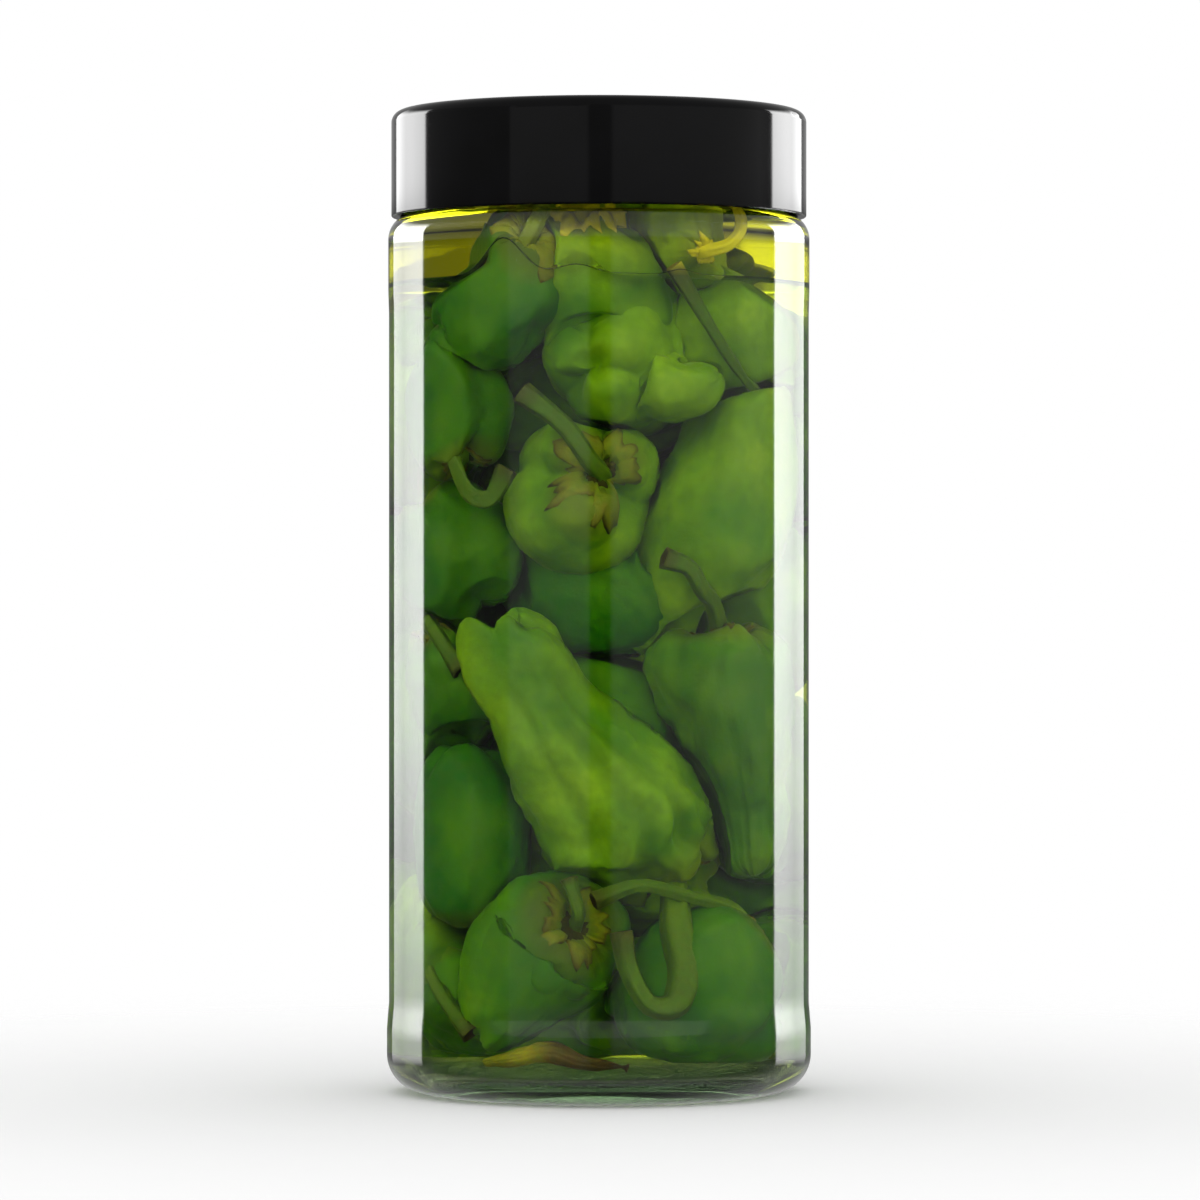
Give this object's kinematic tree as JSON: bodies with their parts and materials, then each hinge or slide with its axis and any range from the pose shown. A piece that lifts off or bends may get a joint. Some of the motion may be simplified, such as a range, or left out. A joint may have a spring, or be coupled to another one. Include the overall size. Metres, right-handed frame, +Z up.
{
  "type": "jar of pickled peppers",
  "caption": "Tall straight-sided glass jar of whole pickled green peppers in brine under a layer of oil, with a smooth black screw lid.",
  "frame": {"origin": "middle of the base, at the level the jar stands on", "axes": "+Z up along the jar's axis; the side that the peppers are arranged to show faces -Y"},
  "size_m": [0.0906, 0.0906, 0.2092],
  "materials": {
    "clear_glass": "clear pressed soda-lime glass",
    "brine": "slightly hazy green-yellow liquid",
    "oil": "clear yellow oil",
    "lid_plastic": "moulded, high gloss black",
    "pepper_skin": "wet waxy pickled pepper skin",
    "pepper_stalk": "ribbed pickled stalk and calyx"
  },
  "bodies": {
    "root": {"glass_jar": "clear_glass", "brine": "brine", "oil": "oil", "lid": "lid_plastic"}
  },
  "joints": []
}
